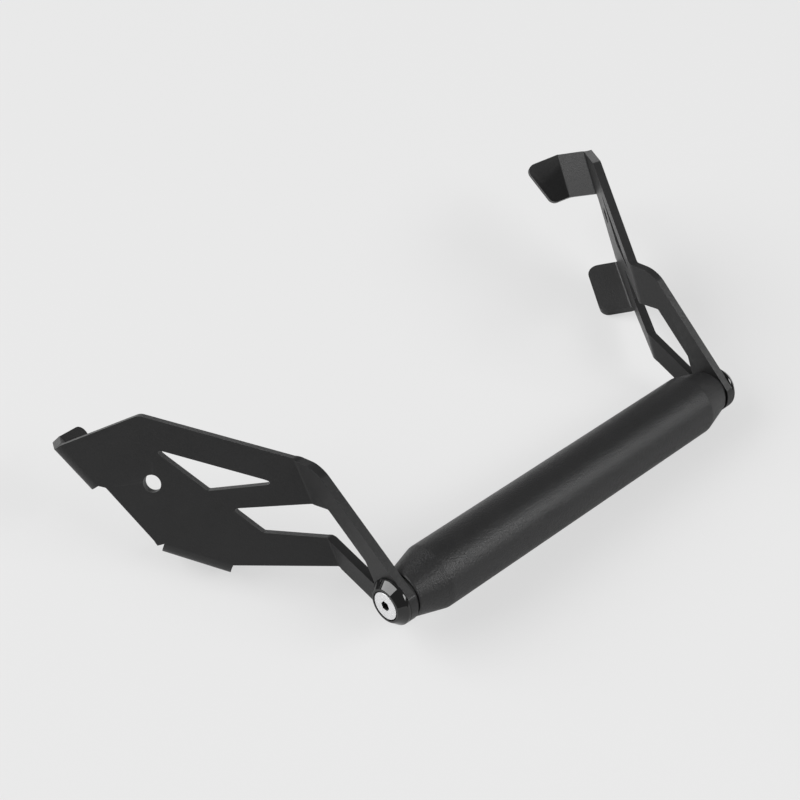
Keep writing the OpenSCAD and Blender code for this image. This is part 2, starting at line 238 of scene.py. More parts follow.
def new_group(name, inputs, outputs):
    """A shader group with float sockets, and its input and output nodes."""
    tree = bpy.data.node_groups.new(name, "ShaderNodeTree")
    for label, default in inputs:
        socket = tree.interface.new_socket(label, in_out="INPUT", socket_type="NodeSocketFloat")
        socket.default_value = default
    for label in outputs:
        tree.interface.new_socket(label, in_out="OUTPUT", socket_type="NodeSocketFloat")
    return tree, node(tree, "NodeGroupInput", -900, 0), node(tree, "NodeGroupOutput", 500, 0)


def grain_group():
    """Fine grain of a blasted or coated surface, with a slow variation over it."""
    name = "Surface grain"
    if name in bpy.data.node_groups:
        return bpy.data.node_groups[name]
    tree, start, end = new_group(
        name, (("Grain Scale", 2500.0), ("Patch Scale", 90.0)), ("Grain", "Patches")
    )
    place = node(tree, "ShaderNodeTexCoord", -900, -200)
    fine = node(tree, "ShaderNodeTexNoise", -500, 150)
    fine.inputs["Detail"].default_value = 3
    fine.inputs["Roughness"].default_value = 0.65
    patch = node(tree, "ShaderNodeTexNoise", -500, -200)
    patch.inputs["Detail"].default_value = 4
    patch.inputs["Roughness"].default_value = 0.6
    link(tree, place.outputs["Object"], fine.inputs["Vector"])
    link(tree, place.outputs["Object"], patch.inputs["Vector"])
    link(tree, start.outputs["Grain Scale"], fine.inputs["Scale"])
    link(tree, start.outputs["Patch Scale"], patch.inputs["Scale"])
    link(tree, fine.outputs["Fac"], end.inputs["Grain"])
    link(tree, patch.outputs["Fac"], end.inputs["Patches"])
    return tree


def wear_and_highlight_group():
    """Mask of the rubbed edges and painted edge highlight: 1 on a sharp outside edge, broken up by noise."""
    name = "Rubbed edges"
    if name in bpy.data.node_groups:
        return bpy.data.node_groups[name]
    tree, start, end = new_group(name, (("Amount", 1.0), ("Break Scale", 400.0)), ("Mask",))
    shape = node(tree, "ShaderNodeNewGeometry", -900, 250)
    edge = node(tree, "ShaderNodeMapRange", -500, 250)
    edge.inputs["From Min"].default_value = 0.52
    edge.inputs["From Max"].default_value = 0.62
    place = node(tree, "ShaderNodeTexCoord", -900, -250)
    noise = node(tree, "ShaderNodeTexNoise", -650, -150)
    noise.inputs["Detail"].default_value = 5
    broken = node(tree, "ShaderNodeMapRange", -400, -150)
    broken.inputs["From Min"].default_value = 0.35
    broken.inputs["From Max"].default_value = 0.65
    product = node(tree, "ShaderNodeMath", -100, 100, operation="MULTIPLY")
    scaled = node(tree, "ShaderNodeMath", 150, 100, operation="MULTIPLY")
    link(tree, shape.outputs["Pointiness"], edge.inputs["Value"])
    link(tree, place.outputs["Object"], noise.inputs["Vector"])
    link(tree, start.outputs["Break Scale"], noise.inputs["Scale"])
    link(tree, noise.outputs["Fac"], broken.inputs["Value"])
    link(tree, edge.outputs["Result"], product.inputs[0])
    link(tree, broken.outputs["Result"], product.inputs[1])
    link(tree, product.outputs[0], scaled.inputs[0])
    link(tree, start.outputs["Amount"], scaled.inputs[1])
    link(tree, scaled.outputs[0], end.inputs["Mask"])
    return tree


def painted_crevice_shade_group():
    """Mask of painted shade in the crevices: 1 in narrow gaps and deep sockets, where shade falls, 0 in the
    open.
    """
    name = "Crevices"
    if name in bpy.data.node_groups:
        return bpy.data.node_groups[name]
    tree, start, end = new_group(name, (("Reach", 0.001),), ("Mask",))
    open_sky = node(tree, "ShaderNodeAmbientOcclusion", -500, 0, samples=8)
    depth = node(tree, "ShaderNodeMapRange", -200, 0)
    depth.inputs["From Min"].default_value = 0.9
    depth.inputs["From Max"].default_value = 0.45
    link(tree, start.outputs["Reach"], open_sky.inputs["Distance"])
    link(tree, open_sky.outputs["AO"], depth.inputs["Value"])
    link(tree, depth.outputs["Result"], end.inputs["Mask"])
    return tree


def turning_group():
    """Height of the fine rings that a lathe leaves, round the X axis."""
    name = "Turning rings"
    if name in bpy.data.node_groups:
        return bpy.data.node_groups[name]
    tree, start, end = new_group(name, (("Ring Scale", 6000.0),), ("Height",))
    place = node(tree, "ShaderNodeTexCoord", -900, -200)
    split = node(tree, "ShaderNodeSeparateXYZ", -700, -200)
    across = node(tree, "ShaderNodeCombineXYZ", -500, -200)
    radius = node(tree, "ShaderNodeVectorMath", -300, -200, operation="LENGTH")
    along = node(tree, "ShaderNodeMath", -300, 100, operation="ADD")
    noise = node(tree, "ShaderNodeTexNoise", 100, 0, noise_dimensions="1D")
    noise.inputs["Detail"].default_value = 2
    link(tree, place.outputs["Object"], split.inputs[0])
    link(tree, split.outputs["Y"], across.inputs["Y"])
    link(tree, split.outputs["Z"], across.inputs["Z"])
    link(tree, across.outputs[0], radius.inputs[0])
    link(tree, split.outputs["X"], along.inputs[0])
    link(tree, radius.outputs["Value"], along.inputs[1])
    link(tree, along.outputs[0], noise.inputs["W"])
    link(tree, start.outputs["Ring Scale"], noise.inputs["Scale"])
    link(tree, noise.outputs["Fac"], end.inputs["Height"])
    return tree


def use_group(tree, group, x, y, **values):
    """A group placed in a material with its own values."""
    placed = node(tree, "ShaderNodeGroup", x, y, node_tree=group)
    for key, value in values.items():
        placed.inputs[key.replace("_", " ")].default_value = value
    return placed


def new_material(name):
    """A material's tree and its Principled shader."""
    material = bpy.data.materials.new(name)
    material.use_nodes = True
    tree = material.node_tree
    return material, tree, tree.nodes["Principled BSDF"]


def mix_colours(tree, factor, low, high, x, y):
    """The colour between low and high by a factor socket."""
    mixed = node(tree, "ShaderNodeMix", x, y, data_type="RGBA")
    mixed.inputs[6].default_value = low
    mixed.inputs[7].default_value = high
    link(tree, factor, mixed.inputs[0])
    return mixed


def spread(tree, value, low, high, x, y):
    """A socket from low to high as a value crosses the middle of the range from 0 to 1."""
    mapped = node(tree, "ShaderNodeMapRange", x, y)
    mapped.inputs["From Min"].default_value = 0.3
    mapped.inputs["From Max"].default_value = 0.7
    mapped.inputs["To Min"].default_value = low
    mapped.inputs["To Max"].default_value = high
    link(tree, value, mapped.inputs["Value"])
    return mapped.outputs["Result"]


def bump(tree, shader, height, distance, strength, x, y):
    """Bump from a height socket to the shader's normal."""
    made = node(tree, "ShaderNodeBump", x, y)
    made.inputs["Distance"].default_value = distance
    made.inputs["Strength"].default_value = strength
    link(tree, height, made.inputs["Height"])
    link(tree, made.outputs["Normal"], shader.inputs["Normal"])


def lighter(base, factor):
    """A colour brightened by a factor."""
    return (base[0] * factor, base[1] * factor, base[2] * factor, 1)


def grained_black(
    name, base, grain_scale, patch_scale, wear_and_highlight_amount, break_scale, dark, light, cloud,
    roughness, height, strength,
):
    """A black with fine grain from dark to light, slow clouds, and sharp edges lightened partly as rubbed
    wear and partly as a painted highlight.
    """
    material, tree, shader = new_material(name)
    grain = use_group(tree, grain_group(), -900, 0, Grain_Scale=grain_scale, Patch_Scale=patch_scale)
    wear_and_highlight = use_group(tree, wear_and_highlight_group(), -900, -300, Amount=wear_and_highlight_amount, Break_Scale=break_scale)
    fine = spread(tree, grain.outputs["Grain"], 0.0, 1.0, -750, 400)
    speckled = mix_colours(tree, fine, lighter(base, dark), lighter(base, light), -600, 400)
    cloudy = mix_colours(tree, grain.outputs["Patches"], base, lighter(base, cloud), -450, 200)
    link(tree, speckled.outputs[2], cloudy.inputs[6])
    # Sharp edges lightened threefold: partly rubbed wear, partly a painted highlight where edges catch the
    # lamps.
    worn_and_lit = mix_colours(tree, wear_and_highlight.outputs["Mask"], base, lighter(base, 3.0), -300, 200)
    link(tree, cloudy.outputs[2], worn_and_lit.inputs[6])
    link(tree, worn_and_lit.outputs[2], shader.inputs["Base Color"])
    link(tree, spread(tree, grain.outputs["Patches"], *roughness, -600, -100), shader.inputs["Roughness"])
    bump(tree, shader, grain.outputs["Grain"], height, strength, -300, -300)
    return material


def black_coat(name):
    """Matt black of the arms, with the fine grain of a sprayed coat."""
    return grained_black(
        name, tuple(sizes("mount_finish").arm), grain_scale=1900.0, patch_scale=70.0,
        wear_and_highlight_amount=0.5, break_scale=500.0, dark=0.8, light=1.3, cloud=1.2,
        roughness=(0.34, 0.42), height=0.00015, strength=0.5,
    )


def black_anodised(name):
    """Satin black of the bar: blasted and anodised, faintly mottled."""
    return grained_black(
        name, tuple(sizes("mount_finish").bar), grain_scale=1600.0, patch_scale=160.0,
        wear_and_highlight_amount=0.35, break_scale=900.0, dark=0.72, light=1.25, cloud=1.3,
        roughness=(0.3, 0.38), height=0.0003, strength=0.7,
    )


def gloss_black(name):
    """Gloss black of the cup washers, with faint turning rings under the gloss."""
    material, tree, shader = new_material(name)
    base = tuple(sizes("mount_finish").cup)
    rings = use_group(tree, turning_group(), -900, -100, Ring_Scale=5000.0)
    grain = use_group(tree, grain_group(), -900, 200, Grain_Scale=1200.0, Patch_Scale=200.0)
    cloudy = mix_colours(tree, grain.outputs["Patches"], lighter(base, 0.7), lighter(base, 1.4), -600, 200)
    link(tree, cloudy.outputs[2], shader.inputs["Base Color"])
    link(tree, spread(tree, grain.outputs["Patches"], 0.03, 0.07, -600, 0), shader.inputs["Roughness"])
    bump(tree, shader, rings.outputs["Height"], 0.000001, 0.3, -300, -300)
    shader.inputs["Specular IOR Level"].default_value = 0.7
    return material


def dark_washer(name):
    """Dull dark grey of the friction washers."""
    material, tree, shader = new_material(name)
    base = tuple(sizes("mount_finish").washer)
    grain = use_group(tree, grain_group(), -900, 0, Grain_Scale=1800.0, Patch_Scale=300.0)
    cloudy = mix_colours(tree, grain.outputs["Patches"], lighter(base, 0.7), lighter(base, 1.3), -600, 200)
    link(tree, cloudy.outputs[2], shader.inputs["Base Color"])
    link(tree, spread(tree, grain.outputs["Grain"], 0.6, 0.75, -600, -100), shader.inputs["Roughness"])
    bump(tree, shader, grain.outputs["Grain"], 0.00004, 0.4, -300, -300)
    return material


def bright_steel(name):
    """Bright steel of the screws, finely turned across the head, with painted shade darkening the socket and
    the gap round the head.
    """
    material, tree, shader = new_material(name)
    base = tuple(sizes("mount_finish").steel)
    rings = use_group(tree, turning_group(), -900, -100, Ring_Scale=9000.0)
    grain = use_group(tree, grain_group(), -900, 200, Grain_Scale=1500.0, Patch_Scale=400.0)
    crevice_shade = use_group(tree, painted_crevice_shade_group(), -900, -300, Reach=0.004)
    cloudy = mix_colours(tree, grain.outputs["Patches"], lighter(base, 0.9), lighter(base, 1.05), -600, 200)
    # Painted shade: the crevice mask darkens the steel almost to black in the socket and the gap round the
    # head.
    shaded = mix_colours(tree, crevice_shade.outputs["Mask"], base, lighter(base, 0.02), -300, 200)
    link(tree, cloudy.outputs[2], shaded.inputs[6])
    link(tree, shaded.outputs[2], shader.inputs["Base Color"])
    link(tree, spread(tree, grain.outputs["Patches"], 0.22, 0.32, -600, 0), shader.inputs["Roughness"])
    bump(tree, shader, rings.outputs["Height"], 0.000006, 0.5, -300, -300)
    shader.inputs["Metallic"].default_value = 0.5
    return material


FINISHES = {
    "arm_black": ("Coated arm sheet", black_coat),
    "bar_black": ("Blasted anodised bar", black_anodised),
    "cup_black": ("Gloss cup washer", gloss_black),
    "washer_black": ("Friction washer", dark_washer),
    "screw_steel": ("Turned screw steel", bright_steel),
}


def finish(slot):
    """The finish for a material slot, made once."""
    name, make = FINISHES[slot]
    return bpy.data.materials.get(name) or make(name)


# ---- Making pieces ----


def place_piece(bm, name, slot, body, replaced):
    """The bmesh as a finished object that rides on its body and stands for its CAD node."""
    mesh = bpy.data.meshes.new(name)
    for face in bm.faces:
        face.smooth = True
    bm.to_mesh(mesh)
    bm.free()
    mesh.materials.append(finish(slot))
    mesh.set_sharp_from_angle(angle=SHARP_ANGLE)
    piece = bpy.data.objects.new(name, mesh)
    bpy.context.scene.collection.objects.link(piece)
    weighted = piece.modifiers.new("weighted normals", "WEIGHTED_NORMAL")
    weighted.keep_sharp = True
    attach(piece, body)
    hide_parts(replaced)
    return piece


def turned(points, steps=TURN_STEPS):
    """A bmesh turned about the X axis from (x, radius) points; ends on the axis are closed."""
    bm = bmesh.new()
    corners = [bm.verts.new((x, 0, r)) for x, r in points]
    line = [bm.edges.new(pair) for pair in zip(corners, corners[1:])]
    bmesh.ops.spin(
        bm, geom=corners + line, cent=(0, 0, 0), axis=(1, 0, 0), dvec=(0, 0, 0),
        angle=math.tau, steps=steps, use_merge=True, use_duplicate=False,
    )
    bmesh.ops.remove_doubles(bm, verts=bm.verts[:], dist=1e-7)
    bmesh.ops.recalc_face_normals(bm, faces=bm.faces[:])
    return bm


def soften_rings(bm, places, width, segments=3):
    """Rounds the turned edges that lie at the given (x, radius) places."""
    near = 1e-5
    rings = [
        edge for edge in bm.edges
        if any(
            all(abs(v.co.x - x) < near and abs(math.hypot(v.co.y, v.co.z) - r) < near for v in edge.verts)
            for x, r in places
        )
    ]
    bmesh.ops.bevel(
        bm, geom=rings, offset=width, offset_type="OFFSET", affect="EDGES",
        segments=segments, profile=0.5, material=-1, clamp_overlap=True,
    )


def on_side(bm, side):
    """Mirrors a piece that was made for the right end to its own side."""
    if side < 0:
        bmesh.ops.transform(bm, matrix=Matrix.Scale(-1, 4, (1, 0, 0)), verts=bm.verts[:])
        bmesh.ops.reverse_faces(bm, faces=bm.faces[:])


def crossbar_piece():
    """The bar: tapered and chamfered at both ends, with tapped holes."""
    t = sizes("mount_turned")
    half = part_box("crossbar")[1][0]
    shoulder = half - t.taper
    point = t.bore * DRILL_POINT
    end = [
        (half - t.tap - point, 0), (half - t.tap, t.bore), (half, t.bore),
        (half, t.bar_end - t.chamfer), (half - t.chamfer, t.bar_end), (shoulder, t.bar),
    ]
    bm = turned([(-x, r) for x, r in end] + end[::-1])
    soften_rings(bm, [(shoulder, t.bar), (-shoulder, t.bar)], t.shoulder)
    soften_rings(bm, [(half, t.bar_end - t.chamfer), (-half, t.bar_end - t.chamfer)], t.chamfer / 4, 2)
    return place_piece(bm, "turned_bar", "bar_black", "bar", "crossbar")


def friction_washer_piece(word, side):
    """A flat washer between the bar's end and the arm's eye."""
    t = sizes("mount_turned")
    low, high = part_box(word + "_friction_washer")
    near, far = sorted((abs(low[0]), abs(high[0])))
    rim = high[2]
    bm = turned([(near, t.bore), (far, t.bore), (far, rim), (near, rim), (near, t.bore)])
    soften_rings(bm, [(near, rim), (far, rim)], WASHER_EDGE, 2)
    on_side(bm, side)
    return place_piece(bm, word + "_washer_ring", "washer_black", "bar", word + "_friction_washer")


def cup_washer_piece(word, side):
    """A countersunk cup washer: rim, cone, land and the seat for the screw head."""
    t = sizes("mount_turned")
    low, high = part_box(word + "_cup_washer")
    base, top = sorted((abs(low[0]), abs(high[0])))
    rim = high[2]
    seat = t.head + t.seat_gap
    ring = [
        (base, t.bore), (base, rim), (base + t.cup_rim, rim), (top, seat + t.cup_land), (top, seat),
        (top - t.head_land, seat), (top - t.head_land - (seat - t.bore), t.bore), (base, t.bore),
    ]
    bm = turned(ring)
    soften_rings(bm, [(base, rim)], WASHER_EDGE, 2)
    soften_rings(bm, [(base + t.cup_rim, rim), (top, seat + t.cup_land)], CUP_EDGE, 3)
    soften_rings(bm, [(top, seat)], SEAT_EDGE, 2)
    on_side(bm, side)
    return place_piece(bm, word + "_cup", "cup_black", word + "_cup", word + "_cup_washer")


def screw_piece(word, side):
    """A countersunk screw with a hexagon socket and a threaded shank."""
    t = sizes("mount_turned")
    low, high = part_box(word + "_screw")
    tip, top = sorted((abs(low[0]), abs(high[0])))
    neck = top - t.head_land - (t.head - t.shank)
    mouth = t.hexagon * HEAD_RING
    profile = [(top, mouth), (top, t.head), (top - t.head_land, t.head), (neck, t.shank)]
    crest = neck - t.pitch
    while crest - t.pitch > tip + t.thread:
        profile += [(crest, t.shank), (crest - t.pitch / 2, t.shank - t.thread)]
        crest -= t.pitch
    profile += [(tip + t.thread, t.shank), (tip, t.shank - t.thread), (tip, 0)]
    bm = turned(profile, SCREW_STEPS)
    soften_rings(bm, [(top, t.head)], t.head_land * HEAD_EDGE, 3)
    rim = [e for e in bm.edges if e.is_boundary]
    corner = t.hexagon / 2 / math.cos(math.radians(30))
    facing = Matrix.Translation((top, 0, 0)) @ Matrix.Rotation(math.radians(90), 4, "Y")
    hexagon = bmesh.ops.create_circle(bm, cap_ends=False, segments=6, radius=corner, matrix=facing)
    ring = list({e for v in hexagon["verts"] for e in v.link_edges})
    bmesh.ops.triangle_fill(bm, use_beauty=True, use_dissolve=False, edges=rim + ring, normal=(1, 0, 0))
    walls = bmesh.ops.extrude_edge_only(bm, edges=ring)["geom"]
    foot = [v for v in walls if isinstance(v, bmesh.types.BMVert)]
    bmesh.ops.translate(bm, verts=foot, vec=(-t.socket, 0, 0))
    bottom = bmesh.ops.contextual_create(bm, geom=foot)["faces"]
    bmesh.ops.poke(bm, faces=bottom, offset=-SOCKET_POINT)
    bmesh.ops.recalc_face_normals(bm, faces=bm.faces[:])
    soften_rings(bm, [(top, corner)], SOCKET_EDGE, 2)
    on_side(bm, side)
    body = word + "_screw"
    return place_piece(bm, word + "_countersunk_screw", "screw_steel", body, body)


# ---- Arms: a flat blank, cut out, then folded ----


def along(point, heading, distance):
    """The point at a distance from another, along a heading."""
    return Vector((point[0] + distance * math.cos(heading), point[1] + distance * math.sin(heading)))


def meet(p, a, q, b):
    """Where the line through p at heading a crosses the line through q at heading b."""
    return along(p, a, ((q[1] - p[1]) * math.cos(b) - (q[0] - p[0]) * math.sin(b)) / math.sin(a - b))


class Fold:
    """A fold across the blank: its frame, where the bend starts, its angle and its side."""

    def __init__(self, at, heading, start, angle, towards, reach=None):
        sheet = sizes("mount_sheet")
        self.frame = Matrix.Translation((at[0], at[1], 0)) @ Matrix.Rotation(heading, 4, "Z")
        self.start = start
        self.angle = angle
        self.towards = towards
        self.reach = reach
        self.radius = sheet.bend
        self.thickness = sheet.thickness
        self.length = unbent(angle)

    def cut(self, bm, steps=BEND_STEPS):
        """Adds the edges across the blank on which the bend turns."""
        normal = self.frame.to_3x3() @ Vector((1, 0, 0))
        for i in range(steps + 1):
            place = self.frame @ Vector((self.start + self.length * i / steps, 0, 0))
            bmesh.ops.bisect_plane(
                bm, geom=bm.verts[:] + bm.edges[:] + bm.faces[:], dist=1e-7,
                plane_co=place, plane_no=normal, clear_inner=False, clear_outer=False,
            )

    def bend(self, bm):
        """Turns what lies past the start of the bend towards one face of the sheet."""
        back = self.frame.inverted()
        for vert in bm.verts:
            p = back @ vert.co
            past = p.x - self.start
            if past <= 1e-8 or (self.reach and not self.reach[0] < p.y < self.reach[1]):
                continue
            share = min(past / self.length, 1)
            rest = max(past - self.length, 0)
            a = self.angle * share
            if self.towards < 0:
                depth = p.z + self.thickness + self.radius
                p.z = -self.thickness - self.radius + depth * math.cos(a) - rest * math.sin(a)
            else:
                depth = self.radius - p.z
                p.z = self.radius - depth * math.cos(a) + rest * math.sin(a)
            p.x = self.start + depth * math.sin(a) + rest * math.cos(a)
            vert.co = self.frame @ p


def setback(angle):
    """Distance from a fold's sharp inside corner back to the start of its bend."""
    return sizes("mount_sheet").bend * math.tan(angle / 2)


def unbent(angle):
    """Length of a fold's bend in the flat blank."""
    sheet = sizes("mount_sheet")
    return angle * (sheet.bend + sheet.thickness / 2)


def add_loop(bm, points, closed=True):
    """A chain of edges through the points, and its vertices."""
    verts = [bm.verts.new((p[0], p[1], 0)) for p in points]
    for a, b in zip(verts, verts[1:]):
        bm.edges.new((a, b))
    if closed:
        bm.edges.new((verts[-1], verts[0]))
    return verts


def round_corners(bm, corners):
    """Rounds the upright edges of the blank at the given (point, radius) corners."""
    for point, radius in corners:
        upright = [
            e for e in bm.edges
            if abs(e.verts[0].co.z - e.verts[1].co.z) > 1e-5
            and all((v.co.xy - Vector(point[:2])).length < 1e-5 for v in e.verts)
        ]
        if not upright:
            raise RuntimeError("no edge to round at %s" % (point,))
        turn_angle = abs(upright[0].calc_face_angle())
        bmesh.ops.bevel(
            bm, geom=upright, offset=radius * math.tan(turn_angle / 2), offset_type="OFFSET",
            affect="EDGES", segments=CORNER_STEPS, profile=0.5, material=-1, clamp_overlap=True,
        )


def arm_blank():
    """The flat blank with its outer face at Z = 0, cut out and with softened edges, and its folds.

    X runs away from the fold by the legs and Y up along it, as on the plate.
    """
    s, h = sizes("mount_sheet"), sizes("mount_hooks")
    quarter = math.radians(90)
    half_turn = math.radians(180)
    start = setback(s.fold)
    bend = unbent(s.fold)
    middle = start - bend / 2
    shift = start - bend - (s.fold_reach - start)
    eye = Vector((shift, 0))

    def on_leg(point):
        return Vector((point[0] + shift, point[1]))

    # Legs
    back = on_leg(along((0, 0), s.leg_rise + quarter, s.leg_offset))
    inner = on_leg(along((0, 0), s.leg_rise + quarter, s.leg_offset - s.leg_width))
    leg_top = Vector((start - bend, s.high_top_z + (start - bend) * math.tan(s.top_slope)))
    knee = meet(leg_top, s.knee_slope, back, s.leg_rise)
    low = Vector((middle, s.low_z))
    to_low = low - eye
    low_heading = math.atan2(to_low.y, to_low.x) - math.acos(s.eye / to_low.length)
    low_tangent = along(eye, low_heading, s.eye)
    slot_low = on_leg((s.slot, math.sqrt(s.eye**2 - s.slot**2)))
    slot_high = meet(slot_low, quarter, inner, s.leg_rise)
    gap_top = (middle, s.high_z)
    leg_corner = meet(gap_top, s.gap_slope, inner, s.leg_rise)
    back_angle = math.acos(s.leg_offset / s.eye)
    eye_start = along(eye, s.leg_rise + quarter + back_angle, s.eye)
    eye_sweep = (low_heading - (s.leg_rise + quarter + back_angle)) % math.tau

    # Plate
    shoulder = Vector((s.shoulder, s.high_top_z + s.shoulder * math.tan(s.top_slope)))
    high_at = meet(shoulder, -s.end_fall, (s.hook_reach, 0), quarter)
    high_down = -quarter - h.high_turn
    high_end = along(high_at, high_down, h.high_width)
    free_at = along(high_end, half_turn + h.high_turn, h.high_relief)
    free_end = along(free_at, -quarter - s.free_turn, s.free_edge)
    low_down = -quarter - h.low_turn
    low_at = along(free_end, low_down, h.low_relief)
    low_end = along(low_at, low_down, h.low_width)
    brace_foot = Vector((s.brace_reach, s.sill_z + s.brace_reach * math.tan(s.sill)))
    gap_foot = meet((s.gap_reach, 0), quarter, brace_foot, s.brace)
    gap_end = meet((0, s.high_z), s.gap_slope, brace_foot, s.brace)
    rail_edge = along((0, s.high_top_z), s.top_slope - quarter, s.rail)
    window_far = meet(rail_edge, s.top_slope, brace_foot, s.brace)
    window_near = meet(rail_edge, s.top_slope, brace_foot, s.sill)

    # Hooks, in frames with X square to their folds
    high = Matrix.Translation((high_at.x, high_at.y, 0)) @ Matrix.Rotation(-h.high_turn, 4, "Z")
    lowf = Matrix.Translation((low_at.x, low_at.y, 0)) @ Matrix.Rotation(-h.low_turn, 4, "Z")
    web_x = -setback(h.high_fold) + unbent(h.high_fold) - setback(h.high_fold)
    lip_bend_x = web_x + h.web - setback(h.lip_fold)
    lip_x = lip_bend_x + unbent(h.lip_fold) - setback(h.lip_fold)
    crease_x = lip_bend_x + unbent(h.lip_fold) / 2
    rise = h.web * h.slant
    tab_x = -2 * setback(h.low_fold) + unbent(h.low_fold)
    tab_rise = h.tab * h.slant

    def on_high(x, y):
        return (high @ Vector((x, y, 0))).xy

    def on_low(x, y):
        return (lowf @ Vector((x, y, 0))).xy

    w, v = h.high_width, h.low_width
    lip_top = on_high(lip_x + h.lip, rise - h.lip * h.lip_slant)
    lip_low = on_high(lip_x + h.short_lip, rise - w - h.short_lip * h.lip_slant)
    tab_top = on_low(tab_x + h.tab, tab_rise)
    tab_low = on_low(tab_x + h.tab, tab_rise - v)
    high_foot = on_high(-setback(h.high_fold), -w)
    low_head = on_low(-setback(h.low_fold), 0)
    low_foot = on_low(-setback(h.low_fold), -v)
    outer = [
        knee, leg_top, shoulder, on_high(-setback(h.high_fold), 0), on_high(crease_x, rise), lip_top, lip_low,
        on_high(crease_x, rise - w), high_foot, free_at, free_end, low_head, tab_top, tab_low,
        low_foot, low, low_tangent,
    ]
    gap = [slot_low, (middle, s.low_top_z), gap_foot, gap_end, leg_corner, slot_high]
    window = [window_near, brace_foot, window_far]

    bm = bmesh.new()
    chain = add_loop(bm, outer, closed=False)
    first = bm.verts.new((eye_start.x, eye_start.y, 0))
    bm.edges.new((first, chain[0]))
    bmesh.ops.spin(
        bm, geom=[first], cent=(eye.x, eye.y, 0), axis=(0, 0, 1), dvec=(0, 0, 0),
        angle=eye_sweep, steps=EYE_STEPS, use_merge=False, use_duplicate=False,
    )
    bmesh.ops.remove_doubles(bm, verts=bm.verts[:], dist=2e-6)
    add_loop(bm, gap)
    add_loop(bm, window)
    for centre, radius in ((eye, s.bore), ((s.hole_reach, s.hole_z), s.hole)):
        place = Matrix.Translation((centre[0], centre[1], 0))
        bmesh.ops.create_circle(bm, cap_ends=False, segments=HOLE_STEPS, radius=radius, matrix=place)
    bmesh.ops.triangle_fill(bm, use_beauty=True, use_dissolve=False, edges=bm.edges[:], normal=(0, 0, 1))
    lifted = bmesh.ops.extrude_face_region(bm, geom=bm.faces[:])["geom"]
    below = [v for v in lifted if isinstance(v, bmesh.types.BMVert)]
    bmesh.ops.translate(bm, verts=below, vec=(0, 0, -s.thickness))
    bmesh.ops.recalc_face_normals(bm, faces=bm.faces[:])
    round_corners(bm, [
        (knee, s.knee), (leg_top, s.knee_start), (shoulder, s.shoulder_r),
        (lip_top, h.lip_r), (lip_low, h.lip_r),
        (tab_top, h.tab_r), (tab_low, h.tab_r), (free_at, s.window_r),
        (gap_foot, s.window_r), (gap_end, s.window_r), (leg_corner, s.window_r),
        (slot_low, s.window_r / 2), (slot_high, s.window_r / 2),
        (window_near, s.window_r), (brace_foot, s.window_r), (window_far, s.window_r),
    ])
    rims = [
        e for e in bm.edges
        if len(e.link_faces) == 2 and e.calc_face_angle() > RIM_ANGLE
        and abs(e.verts[0].co.z - e.verts[1].co.z) < 1e-6
    ]
    bmesh.ops.bevel(
        bm, geom=rims, offset=s.edge, offset_type="OFFSET", affect="EDGES",
        segments=3, profile=0.5, material=-1, clamp_overlap=True,
    )
    high_reach = (-w - BEND_MARGIN, BEND_MARGIN + rise)
    low_reach = (-v - BEND_MARGIN, BEND_MARGIN + tab_rise)
    folds = [
        Fold(high_at, -h.high_turn, lip_bend_x, h.lip_fold, -1, high_reach),
        Fold(high_at, -h.high_turn, -setback(h.high_fold), h.high_fold, -1, high_reach),
        Fold(low_at, -h.low_turn, -setback(h.low_fold), h.low_fold, -1, low_reach),
        Fold((0, 0), half_turn, -start, s.fold, 1),
    ]
    return bm, folds


def arm_piece(word, side):
    """An arm, folded from its blank and swung to its place on the bar."""
    s = sizes("mount_sheet")
    bm, folds = arm_blank()
    for fold in folds:
        fold.cut(bm)
    for fold in folds:
        fold.bend(bm)
    lean = Matrix.Rotation(math.radians(90) - s.fold, 4, "Z") @ Matrix.Rotation(math.radians(90), 4, "X")
    seat = Matrix.Translation((s.eye_face + s.thickness, s.fold_reach, 0))
    bmesh.ops.transform(bm, matrix=seat @ lean, verts=bm.verts[:])
    bmesh.ops.remove_doubles(bm, verts=bm.verts[:], dist=1e-6)
    bmesh.ops.recalc_face_normals(bm, faces=bm.faces[:])
    on_side(bm, side)
    swing = Matrix.Rotation(math.radians(ARM_TURN[word]), 4, "X")
    bmesh.ops.transform(bm, matrix=swing, verts=bm.verts[:])
    return place_piece(bm, word + "_folded_arm", "arm_black", word + "_arm", word + "_arm")


# ---- Stage ----

CAMERA_PLACE = (-0.34232, -0.25888, 0.37263)
CAMERA_TURN = (51.426, -1.855, -43.813)
CAMERA_LENS = 76.17
CAMERA_REACH = 20.0
FLOOR_SPAN = 6.0
LAMPS = {
    "back_left": {"place": (-2.48, 2.18, 2.23), "size": (4.2, 2.6), "power": 165.0},
    "front": {"place": (0.9, -1.96, 1.7), "size": (2.2, 0.9), "power": 40.0},
}
LAMP_AIM = (0, 0.03, 0)
SKY_STRENGTH = 0.22
BACKDROP_GLOW = 0.81
FLOOR_GLOW = 0.89
FLOOR_GLOW_SHARE = 0.65
FLOOR_MOTTLE = 0.005
REST_TRIES = 6
REST_LEAN = 0.02


def lowest(word, up):
    """The lowest point of a CAD node against an up direction."""
    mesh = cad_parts[word].data
    return min((v.co for v in mesh.vertices), key=lambda co: co.dot(up)).copy()


def resting_plane():
    """A point and the up direction of the surface on which the bar and both arms rest.

    A plane that touches the bar's left end is leaned, so that the next try finds its right end.
    """
    up = Vector((0, 0, 1))
    for _ in range(REST_TRIES):
        left, right, bar = lowest("left_arm", up), lowest("right_arm", up), lowest("crossbar", up)
        tilted = (right - left).cross(bar - left).normalized()
        up = tilted if tilted.z > 0 else -tilted
        if bar.x < 0:
            up = (up + Vector((-REST_LEAN, 0, 0))).normalized()
    return bar, up


